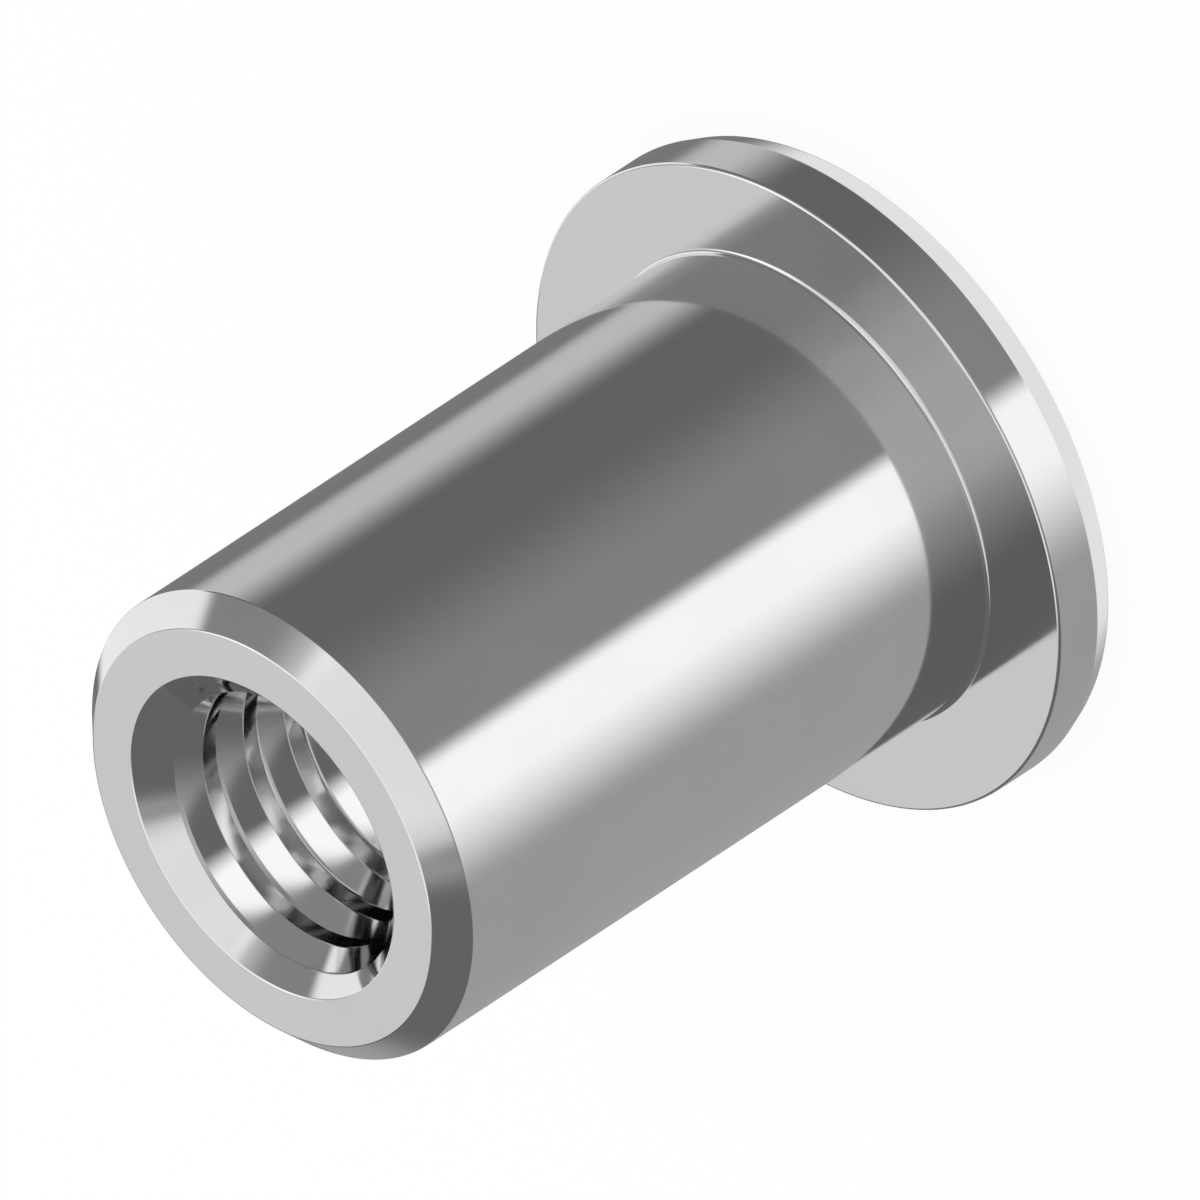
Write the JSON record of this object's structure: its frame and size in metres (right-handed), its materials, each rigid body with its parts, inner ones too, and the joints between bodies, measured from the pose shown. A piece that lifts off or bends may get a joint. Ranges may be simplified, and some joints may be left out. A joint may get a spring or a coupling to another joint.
{
  "type": "flange rivet nut",
  "caption": "Flange rivet nut: round shank with a thin clinching sleeve, tapped end and flat round head, set blind in sheet metal to give it a strong thread.",
  "frame": {"origin": "centre of the head's outer face, on the axis; the nut stands on its head", "axes": "+Z along the axis from the head to the tapped end of the shank; X and Y are free, as the form is round"},
  "size_m": [0.0124, 0.0124, 0.0147],
  "materials": {
    "plated_steel": "bright zinc plate, smooth turned surface"
  },
  "bodies": {
    "root": {"rivet_nut": "plated_steel"}
  },
  "joints": []
}
